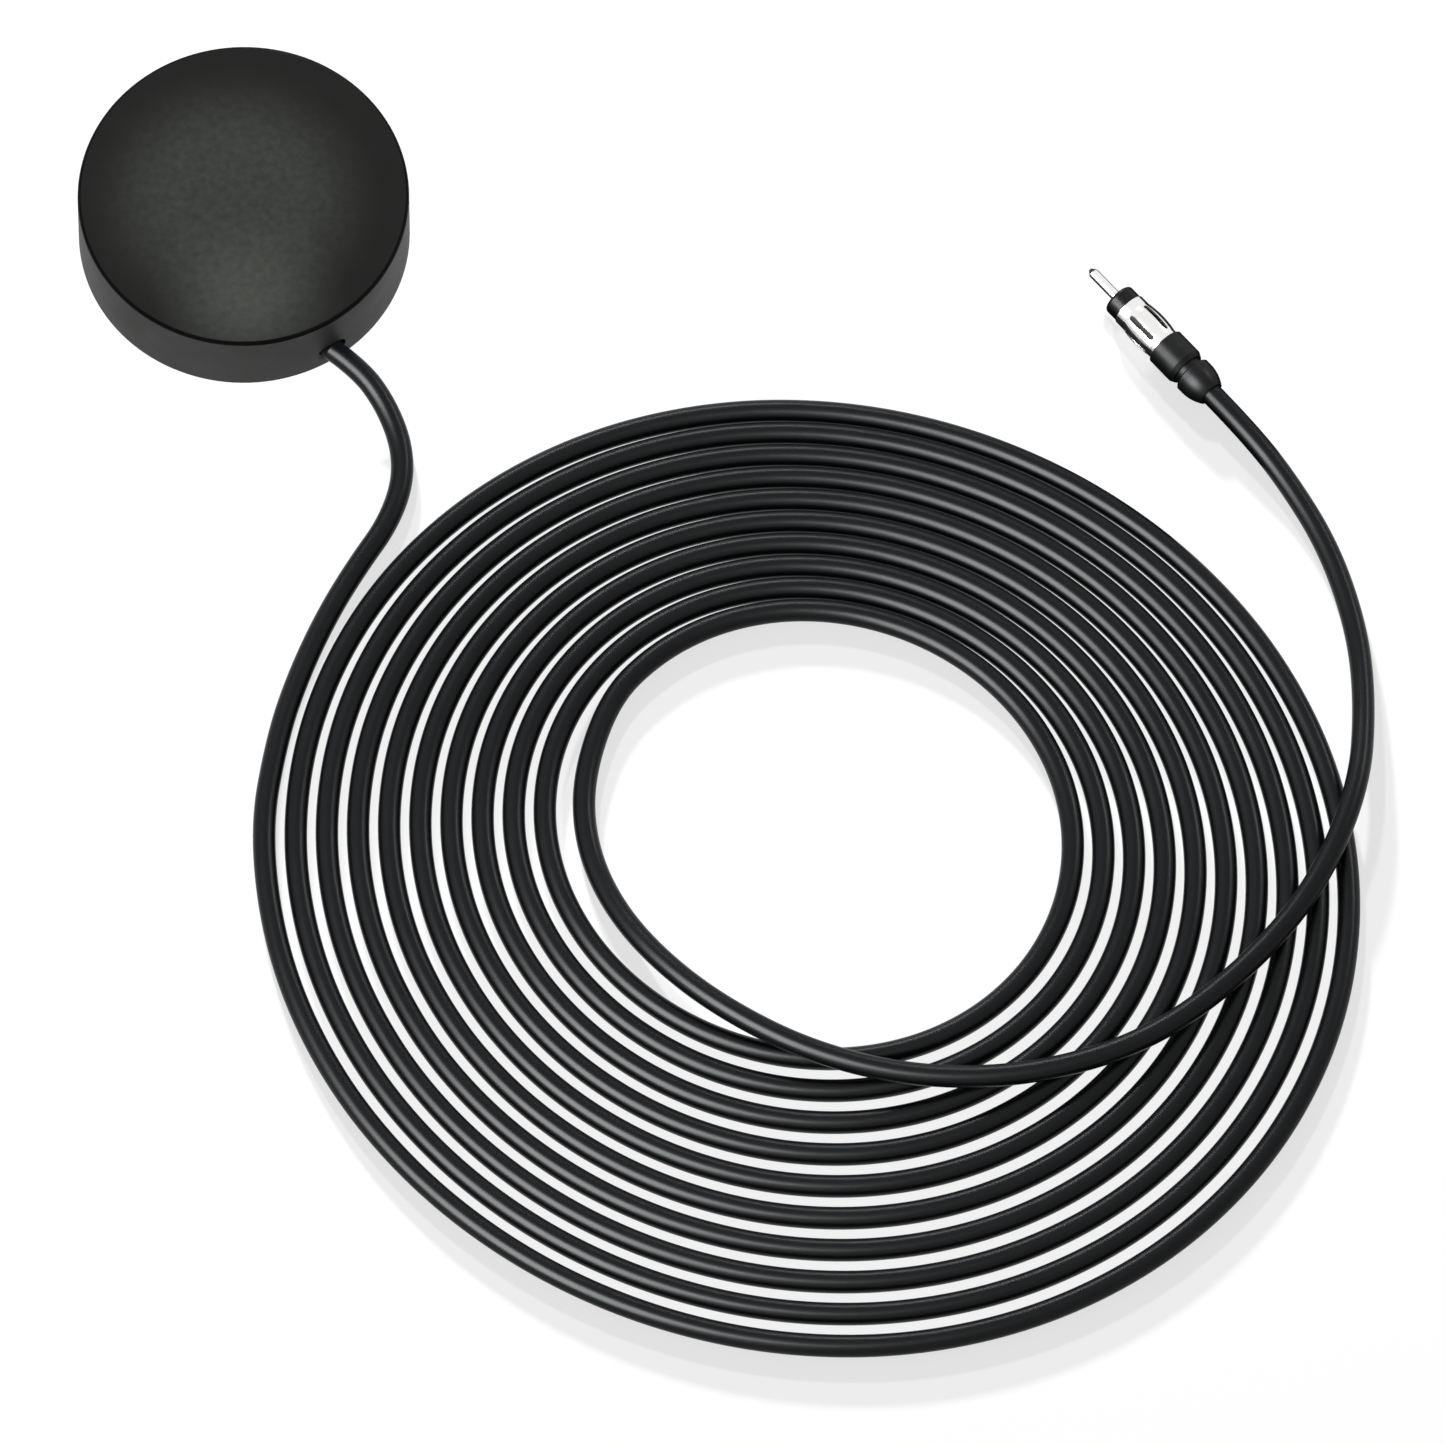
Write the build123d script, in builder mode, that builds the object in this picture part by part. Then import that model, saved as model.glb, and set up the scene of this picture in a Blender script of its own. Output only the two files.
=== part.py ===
from build123d import *
import os
from math import cos, hypot, pi, radians, sin, sqrt, tan

os.makedirs("parts", exist_ok=True)

# Hidden car antenna: a round puck that sticks to glass or trim, a coaxial cord in a loose flat
# coil, and an aerial plug. Millimetres, +Z up. The origin is on the surface that everything
# lies on, under the middle of the puck.

# Puck housing
puck_diameter = 66.2
puck_height = 18.9
crown = 0.5  # how far the middle of the top stands above its edge
edge_radius = 0.8
foot_chamfer = 0.3
wall = 2.2
roof = 2.0
rebate = 0.8  # step in the wall that the base plate seats against
plate_thickness = 2.5
plate_fit = 0.15
pad_margin = 1.95  # from the plate's edge to the pad
pad_thickness = 1.0
pad_inset = 0.7
pad_fit = 0.2

# Screws that hold the plate to the housing
boss_count = 3
boss_diameter = 6.0
boss_inset = 2.8  # from the inside of the wall to the middle of a boss
boss_turn = 60.0  # from the cord's exit round to the first boss
pilot_diameter = 1.8
pilot_depth = 8.0
base_screw_length = 6.5
base_screw_head = 4.4
base_screw_sink = 1.3
base_screw_shank = 2.2

# Circuit board and what it carries
seat_gap = 0.05  # left between pieces that rest on or fit in each other
board_clearance = 1.1  # from the stripped cord up to the board
board_thickness = 1.6
board_gap = 1.5  # from the bosses to the board
board_margin = 3.9  # from the core's post to the board's straight edge
standoff_diameter = 5.4
standoff_inset = 4.0  # from the board's edge
standoff_turns = (100.0, 180.0, 260.0)  # from the way the cord leaves
board_hole = 2.3
board_screw_head = 4.0
board_screw_head_height = 1.1
board_screw_shank = 2.0
board_screw_length = 5.0
former_gap = 2.0  # from the board screws' heads to the bobbin
former_width = 4.5  # from its bore to its edge
former_flange = 0.75
former_web = 1.6
wire_diameter = 0.5
wire_layers = 3
choke_diameter = 8.0
choke_waist = 3.6
choke_height = 3.6
choke_flange = 0.75
choke_wire = 0.35
rib_height = 1.25
rib_thickness = 1.2
rib_inset = 0.6  # from the former's edge to the rib that holds it down
chip_length = 3.2
chip_width = 1.6
chip_height = 1.1
chip_cap = 0.5
chip_cap_stand = 0.05
chip_pair_turns = (50.0, 130.0, 210.0)
chip_pair_spread = 20.0

# Cord, its way out of the puck, and its clamp
cord_diameter = 4.5
dielectric_diameter = 2.3
core_diameter = 0.9
braid_diameter = 0.8
exit_azimuth = -57.5  # where the cord crosses the wall
exit_heading = -38.0  # the way it leaves
slot_azimuth = -57.8
slot_play_across = 2.2
slot_play_above = 0.6
clamp_back = 9.0  # from the outside of the wall to the middle of the clamp
clamp_length = 15.4
clamp_width = 5.0
clamp_thickness = 1.4
clamp_spacing = 10.4
clamp_post = 4.4
clamp_hole = 2.2
clamp_screw_head = 3.8
clamp_screw_head_height = 1.1
clamp_screw_shank = 1.9
clamp_screw_length = 4.6
stripped_length = 2.6  # of dielectric beyond the jacket
core_length = 1.4  # of bare core beyond the dielectric
post_width = 1.3
post_gap = 0.6  # from the bobbin to the core's post
post_spacing = -4.0  # from the core's post to the braid's
post_drop = 0.95  # below the middle of the core
post_rise = 1.0

# Coil: a flat spiral that is a little oval and drifts sideways as it closes
coil_turns = 10
coil_radius = 106.8  # to the middle of the cord where the coil starts
coil_pitch = 6.0
coil_x = 113.8
coil_y = -141.3
coil_drift = 1.05  # of its middle, for each turn
coil_start = 176.0  # direction of the start from the middle
oval_across = 0.020
oval_slant = -0.035
points_per_turn = 24
small_step = 0.0001  # of a turn, used to find the way the coil runs

# Route of the uncoiled cord, chosen by eye: x, y, z of each bend
lead_bends = [(28.3, -39.0, 4.3), (31.6, -47.5, 3.0), (31.9, -56.0, 2.25), (28.8, -65.2, 2.25),
              (23.2, -73.8, 2.25), (17.2, -84.5, 2.25), (11.6, -97.5, 2.25), (7.4, -111.5, 2.25)]
end_bends = [(70.8, -149.8, 3.0), (80.8, -162.3, 5.2), (95.0, -172.8, 7.05), (113.5, -183.0, 7.05),
             (135.0, -188.4, 7.05), (158.0, -187.6, 7.05), (180.5, -180.0, 7.05), (199.5, -164.5, 7.05),
             (212.0, -146.5, 7.05), (220.6, -124.5, 7.05), (223.3, -105.0, 4.1), (221.8, -88.0, 2.25),
             (216.3, -70.0, 2.25), (207.6, -54.8, 2.8)]
first_run = 7.0
coil_run_in = 8.0
coil_run_out = 11.0
last_run = 10.0
arc_share = 0.45  # of the shorter run, taken by the arc at each bend

# Plug: lengths along its axis, from the cord towards the tip
plug_x = 193.1
plug_y = -37.2
plug_heading = 131.2
plug_length = 36.5
boot_length = 14.0
boot_diameter = 8.3
lip_chamfer = 0.15
boot_tail_diameter = 5.5
flange_diameter = 8.1
flange_length = 6.0
flange_dome = 4.5  # part of the flange's length that is domed
flange_undercut = 0.7
flange_chamfer = 0.3
neck_diameter = 6.3
neck_length = 1.9
shoulder = 1.0
sleeve_front = 24.8
sleeve_back = 12.2
sleeve_diameter = 7.2
sleeve_bulge = 0.35
sleeve_wall = 0.35
slot_count = 6
leaf_slot_length = 6.8
leaf_slot_width = 1.05
leaf_slot_front = 22.3
bow_overrun = 0.5  # of the bulge, past each end of the slots
barrel_wall = 0.45
barrel_back = 10.8
barrel_floor = 0.7
barrel_tail = 2.4
barrel_tail_diameter = 4.1
barrel_tail_wall = 0.5
ferrule_back = 4.6
ferrule_wall = 0.4
insulator_diameter = 6.8
insulator_length = 3.4
insulator_round = 0.7
insulator_spigot = 4.0
pin_diameter = 2.1
pin_shank_diameter = 2.6  # inside the insulators
pin_point = 1.0
pin_point_flat = 0.7
pin_cup_back = 14.2
pin_cup_diameter = 2.6
pin_cup_length = 3.0
pin_cup_depth = 2.2
pin_collar_diameter = 3.6
pin_collar_length = 0.8
rear_insulator_length = 1.8

# Sizes that follow from the ones above
puck_radius = puck_diameter / 2
inner_radius = puck_radius - wall
rebate_radius = inner_radius + rebate
plate_radius = rebate_radius - plate_fit
pad_radius = plate_radius - pad_margin
plate_bottom = pad_thickness - pad_inset
plate_top = plate_bottom + plate_thickness
edge_height = puck_height - crown
boss_circle = inner_radius - boss_inset
board_radius = boss_circle - boss_diameter / 2 - board_gap
cord_radius = cord_diameter / 2
cord_height = plate_top + seat_gap + cord_radius
slot_width = cord_diameter + slot_play_across
slot_height = cord_diameter + slot_play_above
board_height = cord_height + dielectric_diameter / 2 + board_clearance
board_top = board_height + board_thickness
standoff_circle = board_radius - standoff_inset
former_radius = standoff_circle - board_screw_head / 2 - former_gap
former_bore = former_radius - former_width
former_top = edge_height - roof - rib_height - seat_gap
boot_radius = boot_diameter / 2


def heading(angle):
    """Direction in the plane of the surface, as a vector."""
    return Vector(cos(radians(angle)), sin(radians(angle)), 0)


exit_way = heading(exit_heading)
exit_point = puck_radius * heading(exit_azimuth) + Vector(0, 0, cord_height)
exit_along = puck_radius * cos(radians(exit_azimuth - exit_heading))
exit_side = puck_radius * sin(radians(exit_azimuth - exit_heading))


def puck_plane(height):
    """Level plane in the puck, with its x axis the way the cord leaves."""
    return Plane(origin=(0, 0, height), x_dir=exit_way, z_dir=(0, 0, 1))


def tail_plane(back, aside=0.0):
    """Plane square to the cord inside the puck, so far back from the outside of the wall."""
    sideways = heading(exit_heading + 90)
    return Plane(origin=exit_point - back * exit_way + aside * sideways, x_dir=sideways,
                 z_dir=exit_way)


boss_places = PolarLocations(boss_circle, boss_count, start_angle=exit_azimuth + boss_turn).locations
standoff_places = [standoff_circle * heading(turn) for turn in standoff_turns]
clamp_x = exit_along - clamp_back
clamp_places = [(clamp_x, exit_side - clamp_spacing / 2), (clamp_x, exit_side + clamp_spacing / 2)]
clamp_height = cord_height + cord_radius + seat_gap
post_reach = exit_side + post_width / 2  # of the corner nearest to the bobbin
post_x = sqrt((former_radius + post_gap)**2 - post_reach**2) + post_width / 2
tail_length = exit_along - post_x - post_width / 2 - stripped_length - core_length
board_cut = post_x + post_width / 2 + board_margin
post_places = [(post_x, exit_side), (post_x, exit_side + post_spacing)]
rib_radius = former_radius - rib_inset

# Housing: a moulded cup with a slightly crowned top, screw bosses and a rib inside the roof
with BuildPart() as cover_shell:
    with BuildSketch(Plane.XZ) as housing_section:
        with BuildLine():
            TangentArc((0, puck_height), (puck_radius, edge_height), tangent=(1, 0))
            Polyline((puck_radius, edge_height), (puck_radius, plate_bottom),
                     (rebate_radius, plate_bottom), (rebate_radius, plate_top),
                     (inner_radius, plate_top), (inner_radius, edge_height - roof),
                     (0, edge_height - roof), (0, puck_height))
        make_face()
        outer_corners = housing_section.vertices().group_by(Axis.X)[-1].sort_by(Axis.Y)
        fillet(outer_corners[-1], edge_radius)
        chamfer(housing_section.vertices().group_by(Axis.X)[-1].sort_by(Axis.Y)[0], foot_chamfer)
    revolve(axis=Axis.Z)
    with BuildSketch(Plane.XY.offset(plate_top)):
        with Locations(*boss_places):
            Circle(boss_diameter / 2)
    extrude(amount=edge_height - roof / 2 - plate_top)
    with BuildSketch(Plane.XY.offset(former_top + seat_gap)):
        Circle(rib_radius)
        Circle(rib_radius - rib_thickness, mode=Mode.SUBTRACT)
    extrude(amount=edge_height - roof / 2 - former_top - seat_gap)
    with BuildSketch(Plane.XY.offset(plate_top)):
        with Locations(*boss_places):
            Circle(pilot_diameter / 2)
    extrude(amount=pilot_depth, mode=Mode.SUBTRACT)
    slot_way = heading(slot_azimuth)
    slot_middle = (puck_radius - 2 * wall) * slot_way + Vector(0, 0, plate_top + slot_height / 2)
    with BuildSketch(Plane(origin=slot_middle, x_dir=heading(slot_azimuth + 90), z_dir=slot_way)):
        SlotOverall(slot_width, slot_height)
    extrude(amount=3 * wall, mode=Mode.SUBTRACT)
cover_shell.part.label = "cover_shell"
export_step(cover_shell.part, "parts/cover_shell.step")

# Base plate: seats in the rebate and against the bosses, and carries the board and the clamp
with BuildPart() as base_plate:
    with BuildSketch(Plane.XY.offset(plate_bottom)):
        Circle(plate_radius)
    extrude(amount=plate_thickness)
    with BuildSketch(Plane.XY.offset(plate_bottom)):
        Circle(pad_radius + pad_fit)
    extrude(amount=pad_inset, mode=Mode.SUBTRACT)
    with BuildSketch(puck_plane(plate_top)):
        with Locations(*standoff_places):
            Circle(standoff_diameter / 2)
    extrude(amount=board_height - plate_top)
    with BuildSketch(puck_plane(plate_top)):
        with Locations(*clamp_places):
            Circle(clamp_post / 2)
    extrude(amount=clamp_height - plate_top)
    with BuildSketch(puck_plane(board_height)):
        with Locations(*standoff_places):
            Circle(board_screw_shank / 2)
    extrude(amount=-(board_screw_length - board_thickness + seat_gap), mode=Mode.SUBTRACT)
    with BuildSketch(puck_plane(clamp_height)):
        with Locations(*clamp_places):
            Circle(clamp_screw_shank / 2)
    extrude(amount=-(clamp_screw_length - clamp_thickness + seat_gap), mode=Mode.SUBTRACT)
    with Locations(Plane((0, 0, pad_thickness), x_dir=(1, 0, 0), z_dir=(0, 0, -1))):
        with Locations(*[(place.position.X, -place.position.Y) for place in boss_places]):
            CounterSinkHole(base_screw_shank / 2 + seat_gap, base_screw_head / 2 + seat_gap)
base_plate.part.label = "base_plate"
export_step(base_plate.part, "parts/base_plate.step")

# Countersunk screws, driven from below through the plate into the bosses
with BuildPart() as base_screws:
    for place in boss_places:
        section = Plane(origin=(place.position.X, place.position.Y, pad_thickness), x_dir=(1, 0, 0),
                        z_dir=(0, -1, 0))
        with BuildSketch(section):
            with BuildLine():
                Polyline((0, seat_gap), (base_screw_head / 2, seat_gap),
                         (base_screw_shank / 2 - 2 * seat_gap, base_screw_sink),
                         (pilot_diameter / 2 - seat_gap, base_screw_sink + 2 * seat_gap),
                         (pilot_diameter / 2 - seat_gap, base_screw_length - pilot_diameter / 2),
                         (0, base_screw_length), close=True)
            make_face()
        revolve(axis=Axis(section.origin, (0, 0, 1)))
base_screws.part.label = "base_screws"
export_step(base_screws.part, "parts/base_screws.step")

# Foam pad, sticky on both sides, that holds the puck where it is put
with BuildPart() as adhesive_pad:
    with BuildSketch(Plane.XY):
        Circle(pad_radius)
    extrude(amount=pad_thickness)
adhesive_pad.part.label = "adhesive_pad"
export_step(adhesive_pad.part, "parts/adhesive_pad.step")

# Circuit board, cut straight beside the cord clamp
with BuildPart() as circuit_board:
    with BuildSketch(puck_plane(board_height)):
        Circle(board_radius)
        with Locations((board_cut + board_radius, 0)):
            Rectangle(2 * board_radius, 2 * board_radius, mode=Mode.SUBTRACT)
        with Locations(*standoff_places):
            Circle(board_hole / 2, mode=Mode.SUBTRACT)
        with Locations(*post_places):
            Rectangle(post_width + 2 * seat_gap, post_width + 2 * seat_gap, mode=Mode.SUBTRACT)
    extrude(amount=board_thickness)
circuit_board.part.label = "circuit_board"
export_step(circuit_board.part, "parts/circuit_board.step")


def pan_screw(spot, head, head_height, shank, length):
    """Half section of a pan-head screw that stands at the spot."""
    with BuildSketch(Plane(spot, x_dir=(1, 0, 0), z_dir=(0, -1, 0))) as half:
        with BuildLine():
            Polyline((0, -length), (shank / 2 - seat_gap, shank / 2 - length),
                     (shank / 2 - seat_gap, 0), (head / 2, 0), (head / 2, head_height / 2),
                     (head / 2 - head_height / 2, head_height), (0, head_height), close=True)
        make_face()
    return half.sketch


with BuildPart() as board_screws:
    for place in standoff_places:
        spot = puck_plane(board_top).from_local_coords(place)
        revolve(pan_screw(spot, board_screw_head, board_screw_head_height, board_screw_shank,
                          board_screw_length), axis=Axis(spot, (0, 0, 1)))
board_screws.part.label = "board_screws"
export_step(board_screws.part, "parts/board_screws.step")

with BuildPart() as clamp_screws:
    for place in clamp_places:
        spot = puck_plane(clamp_height + clamp_thickness).from_local_coords(Vector(*place))
        revolve(pan_screw(spot, clamp_screw_head, clamp_screw_head_height, clamp_screw_shank,
                          clamp_screw_length), axis=Axis(spot, (0, 0, 1)))
clamp_screws.part.label = "clamp_screws"
export_step(clamp_screws.part, "parts/clamp_screws.step")

# Strap that presses the cord against the base plate
with BuildPart() as cord_clamp:
    with BuildSketch(puck_plane(clamp_height)):
        with Locations((clamp_x, exit_side)):
            SlotOverall(clamp_length, clamp_width, rotation=90)
        with Locations(*clamp_places):
            Circle(clamp_hole / 2, mode=Mode.SUBTRACT)
    extrude(amount=clamp_thickness)
cord_clamp.part.label = "cord_clamp"
export_step(cord_clamp.part, "parts/cord_clamp.step")

# Square posts that the core and the braid are soldered to
with BuildPart() as solder_posts:
    with BuildSketch(puck_plane(cord_height - post_drop)):
        with Locations(*post_places):
            Rectangle(post_width, post_width)
    extrude(amount=board_top + post_rise - cord_height + post_drop)
solder_posts.part.label = "solder_posts"
export_step(solder_posts.part, "parts/solder_posts.step")

# Bobbin that the aerial wire is wound on, held down by the rib in the roof
channel_low = board_top + former_flange
channel_high = former_top - former_flange
channel_radius = former_bore + former_web
with BuildPart() as winding_former:
    with BuildSketch(Plane.XZ):
        with BuildLine():
            Polyline((former_bore, board_top), (former_radius, board_top),
                     (former_radius, channel_low), (channel_radius, channel_low),
                     (channel_radius, channel_high), (former_radius, channel_high),
                     (former_radius, former_top), (former_bore, former_top), close=True)
        make_face()
    revolve(axis=Axis.Z)
winding_former.part.label = "winding_former"
export_step(winding_former.part, "parts/winding_former.step")


def winding_section(low, high, inner, wire, layers):
    """Section of a tight winding, from its innermost layer of wire to its outermost."""
    depth = wire * layers
    width = high - low - 2 * seat_gap
    with Locations((inner + seat_gap + depth / 2, (low + high) / 2)):
        Rectangle(depth, width)


with BuildPart() as aerial_winding:
    with BuildSketch(Plane.XZ):
        winding_section(channel_low, channel_high, channel_radius, wire_diameter, wire_layers)
    revolve(axis=Axis.Z)
aerial_winding.part.label = "aerial_winding"
export_step(aerial_winding.part, "parts/aerial_winding.step")

# Matching choke: a ferrite drum and the fine wire between its flanges
choke_low = board_top + choke_flange
choke_high = board_top + choke_height - choke_flange
with BuildPart() as choke_core:
    with BuildSketch(Plane.XZ):
        with BuildLine():
            Polyline((0, board_top), (choke_diameter / 2, board_top), (choke_diameter / 2, choke_low),
                     (choke_waist / 2, choke_low), (choke_waist / 2, choke_high),
                     (choke_diameter / 2, choke_high), (choke_diameter / 2, board_top + choke_height),
                     (0, board_top + choke_height), close=True)
        make_face()
    revolve(axis=Axis.Z)
choke_core.part.label = "choke_core"
export_step(choke_core.part, "parts/choke_core.step")

with BuildPart() as choke_winding:
    with BuildSketch(Plane.XZ):
        winding_section(choke_low, choke_high, choke_waist / 2, choke_wire, wire_layers)
    revolve(axis=Axis.Z)
choke_winding.part.label = "choke_winding"
export_step(choke_winding.part, "parts/choke_winding.step")

# Chip capacitors, in pairs round the bobbin
with BuildPart() as chip_capacitors:
    for turn in chip_pair_turns:
        pair = [turn - chip_pair_spread / 2, turn + chip_pair_spread / 2]
        places = [Location(standoff_circle * heading(exit_heading + side), (0, 0, exit_heading + side))
                  for side in pair]
        with BuildSketch(Plane.XY.offset(board_top)):
            with Locations(*places):
                Rectangle(chip_width, chip_length)
        extrude(amount=chip_height)
        with BuildSketch(Plane.XY.offset(board_top)):
            with Locations(*places):
                with Locations((0, (chip_length - chip_cap) / 2), (0, (chip_cap - chip_length) / 2)):
                    Rectangle(chip_width + 2 * chip_cap_stand, chip_cap)
        extrude(amount=chip_height + chip_cap_stand)
chip_capacitors.part.label = "chip_capacitors"
export_step(chip_capacitors.part, "parts/chip_capacitors.step")


def round_section(route, diameter):
    """Round section square to a route at its start."""
    with BuildSketch(Plane(origin=route @ 0, z_dir=route % 0)) as section:
        Circle(diameter / 2)
    return section.sketch


# End of the cord inside the puck: jacket, dielectric, bare core and twisted braid
with BuildPart() as cord_tail:
    with BuildSketch(tail_plane(tail_length)):
        Circle(cord_radius)
    extrude(amount=tail_length)
cord_tail.part.label = "cord_tail"
export_step(cord_tail.part, "parts/cord_tail.step")

with BuildPart() as dielectric_tail:
    with BuildSketch(tail_plane(tail_length + stripped_length)):
        Circle(dielectric_diameter / 2)
    extrude(amount=stripped_length)
dielectric_tail.part.label = "dielectric_tail"
export_step(dielectric_tail.part, "parts/dielectric_tail.step")

with BuildPart() as core_tail:
    with BuildSketch(tail_plane(tail_length + stripped_length + core_length)):
        Circle(core_diameter / 2)
    extrude(amount=core_length)
core_tail.part.label = "core_tail"
export_step(core_tail.part, "parts/core_tail.step")

braid_aside = -(dielectric_diameter + braid_diameter) / 2 - seat_gap
post_back = tail_length + stripped_length + core_length
with BuildPart() as braid_tail:
    with BuildLine() as braid_route:
        FilletPolyline(tail_plane(tail_length, braid_aside).origin,
                       tail_plane(tail_length + core_length, braid_aside).origin,
                       tail_plane(tail_length + stripped_length, post_spacing).origin,
                       tail_plane(post_back, post_spacing).origin, radius=braid_diameter)
    sweep(round_section(braid_route.wire(), braid_diameter), path=braid_route.wire())
braid_tail.part.label = "braid_tail"
export_step(braid_tail.part, "parts/braid_tail.step")


def coil_point(turns):
    """Middle of the cord after so many turns of the coil."""
    angle = radians(coil_start) + 2 * pi * turns
    oval = 1 + oval_across * cos(2 * angle) + oval_slant * sin(2 * angle)
    radius = (coil_radius - coil_pitch * turns) * oval
    return Vector(coil_x + radius * cos(angle), coil_y + coil_drift * turns + radius * sin(angle))


def beside_coil(turns, aside):
    """Point so far outside the middle of the cord, square to the way it runs."""
    onward = coil_point(turns + small_step) - coil_point(turns - small_step)
    return coil_point(turns) + aside * Vector(onward.Y, -onward.X).normalized()


def next_level(turns, step):
    """The turn count, about one turn on or back, where the coil is as far along Y as at turns."""
    here = coil_point(turns)
    there = coil_point(turns + step)
    return turns + step + (there.Y - here.Y) / (2 * pi * hypot(there.X - coil_x, there.Y - coil_y))


def coil_outline(first, last, aside):
    """Points of one turn, from first to last in steps of equal angle."""
    return [beside_coil(first + (last - first) * step / points_per_turn, aside)
            for step in range(points_per_turn + 1)]


# Coiled cord: the closed outer shape of its turns. A step in each outline, one pitch deep,
# is where the cord comes in and where it leaves.
with BuildPart() as cord_coil:
    with BuildSketch(Plane.XY):
        with BuildLine():
            outer = Spline(*coil_outline(0, next_level(0, 1), cord_radius))
            Line(outer @ 1, outer @ 0)
        make_face()
        with BuildLine():
            inner = Spline(*coil_outline(next_level(coil_turns, -1), coil_turns, -cord_radius))
            Line(inner @ 1, inner @ 0)
        make_face(mode=Mode.SUBTRACT)
    extrude(amount=cord_diameter)
cord_coil.part.label = "cord_coil"
export_step(cord_coil.part, "parts/cord_coil.step")


def route_radii(points):
    """Radius of the arc at each bend: as large as the two runs beside it allow."""
    radii = []
    for before, corner, after in zip(points, points[1:], points[2:]):
        turn = radians((corner - before).get_angle(after - corner))
        run = min((corner - before).length, (after - corner).length)
        radii.append(arc_share * run / tan(turn / 2))
    return radii


def print_tube(name, points, length, volume):
    """Print a tube's runs and radii, and its volume beside section times length."""
    runs = [round((after - before).length, 1) for before, after in zip(points, points[1:])]
    print(name, "length", round(length, 1), "runs", runs)
    print(name, "radii in diameters", [round(radius / cord_diameter, 1) for radius in route_radii(points)])
    print(name, "volume", round(volume, 1), "section times length", round(pi * cord_radius**2 * length, 1))


# Uncoiled cord from the puck to the coil
coil_entry = Vector(coil_point(0).X, max((outer @ 0).Y, (outer @ 1).Y), cord_radius)
lead_points = [exit_point, exit_point + first_run * exit_way]
lead_points += [Vector(*bend) for bend in lead_bends]
lead_points += [coil_entry + Vector(0, coil_run_in, 0), coil_entry]
with BuildPart() as cord_lead:
    with BuildLine() as lead_route:
        FilletPolyline(*lead_points, radius=route_radii(lead_points))
    sweep(round_section(lead_route.wire(), cord_diameter), path=lead_route.wire())
cord_lead.part.label = "cord_lead"
export_step(cord_lead.part, "parts/cord_lead.step")
print_tube("cord_lead", lead_points, lead_route.wire().length, cord_lead.part.volume)

# Uncoiled cord from the middle of the coil, over the turns, to the plug
plug_way = heading(plug_heading)
plug_back = Vector(plug_x, plug_y, boot_radius)
coil_exit = Vector(coil_point(coil_turns).X, min((inner @ 0).Y, (inner @ 1).Y), cord_radius)
end_points = [coil_exit, coil_exit - Vector(0, coil_run_out, 0)]
end_points += [Vector(*bend) for bend in end_bends]
end_points += [plug_back - last_run * plug_way, plug_back]
with BuildPart() as cord_end:
    with BuildLine() as end_route:
        FilletPolyline(*end_points, radius=route_radii(end_points))
    sweep(round_section(end_route.wire(), cord_diameter), path=end_route.wire())
cord_end.part.label = "cord_end"
export_step(cord_end.part, "parts/cord_end.step")
print_tube("cord_end", end_points, end_route.wire().length, cord_end.part.volume)

steps = coil_turns * points_per_turn
coil_length = sum((coil_point((step + 1) / points_per_turn) - coil_point(step / points_per_turn)).length
                  for step in range(steps))
print("cord length", round(lead_route.wire().length + coil_length + end_route.wire().length))

# Plug: every piece is turned about one axis, with its section drawn along it
plug_axis = Axis(plug_back, plug_way)
plug_section = Plane(origin=plug_back, x_dir=plug_way, z_dir=plug_way.cross(Vector(0, 0, 1)))


def ring_section(start, end, inner, outer):
    """Half section of a plain ring of the plug."""
    with BuildSketch(plug_section) as half:
        with BuildLine():
            Polyline((start, inner), (end, inner), (end, outer), (start, outer), close=True)
        make_face()
    return half.sketch


sleeve_radius = sleeve_diameter / 2
barrel_radius = sleeve_radius - sleeve_wall - seat_gap
ferrule_radius = cord_radius + seat_gap + ferrule_wall
ferrule_front = barrel_back - seat_gap
jacket_front = barrel_back - barrel_tail - seat_gap
insulator_back = sleeve_front - insulator_spigot
insulator_front = sleeve_front + insulator_length
pin_radius = pin_diameter / 2
shank_radius = pin_shank_diameter / 2
neck_front = flange_length - flange_undercut + neck_length
collar_back = insulator_back - rear_insulator_length - pin_collar_length - 2 * seat_gap

# Rubber boot: a domed flange, a neck, and a cup round the back of the sleeve
with BuildPart() as plug_boot:
    with BuildSketch(plug_section) as boot_section:
        with BuildLine():
            Polyline((0, cord_radius + seat_gap), (0, boot_tail_diameter / 2))
            TangentArc((flange_dome, flange_diameter / 2), (0, boot_tail_diameter / 2), tangent=(-1, 0))
            Polyline((flange_dome, flange_diameter / 2), (flange_length, flange_diameter / 2),
                     (flange_length, (flange_diameter + neck_diameter) / 4),
                     (flange_length - flange_undercut, neck_diameter / 2),
                     (neck_front, neck_diameter / 2), (neck_front, boot_radius - shoulder / 2),
                     (neck_front + shoulder, boot_radius), (boot_length, boot_radius),
                     (boot_length, sleeve_radius + seat_gap),
                     (sleeve_back - seat_gap, sleeve_radius + seat_gap),
                     (sleeve_back - seat_gap, barrel_radius + seat_gap),
                     (barrel_back - seat_gap, barrel_radius + seat_gap),
                     (barrel_back - seat_gap, ferrule_radius + seat_gap),
                     (ferrule_back - seat_gap, ferrule_radius + seat_gap),
                     (ferrule_back - seat_gap, cord_radius + seat_gap), (0, cord_radius + seat_gap))
        make_face()
        lip_corner = boot_section.vertices().sort_by_distance((boot_length, boot_radius))[0]
        chamfer(lip_corner, lip_chamfer)
        flange_corner = boot_section.vertices().sort_by_distance((flange_length, flange_diameter / 2))[0]
        chamfer(flange_corner, flange_chamfer)
    revolve(axis=plug_axis)
plug_boot.part.label = "plug_boot"
export_step(plug_boot.part, "parts/plug_boot.step")

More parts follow.
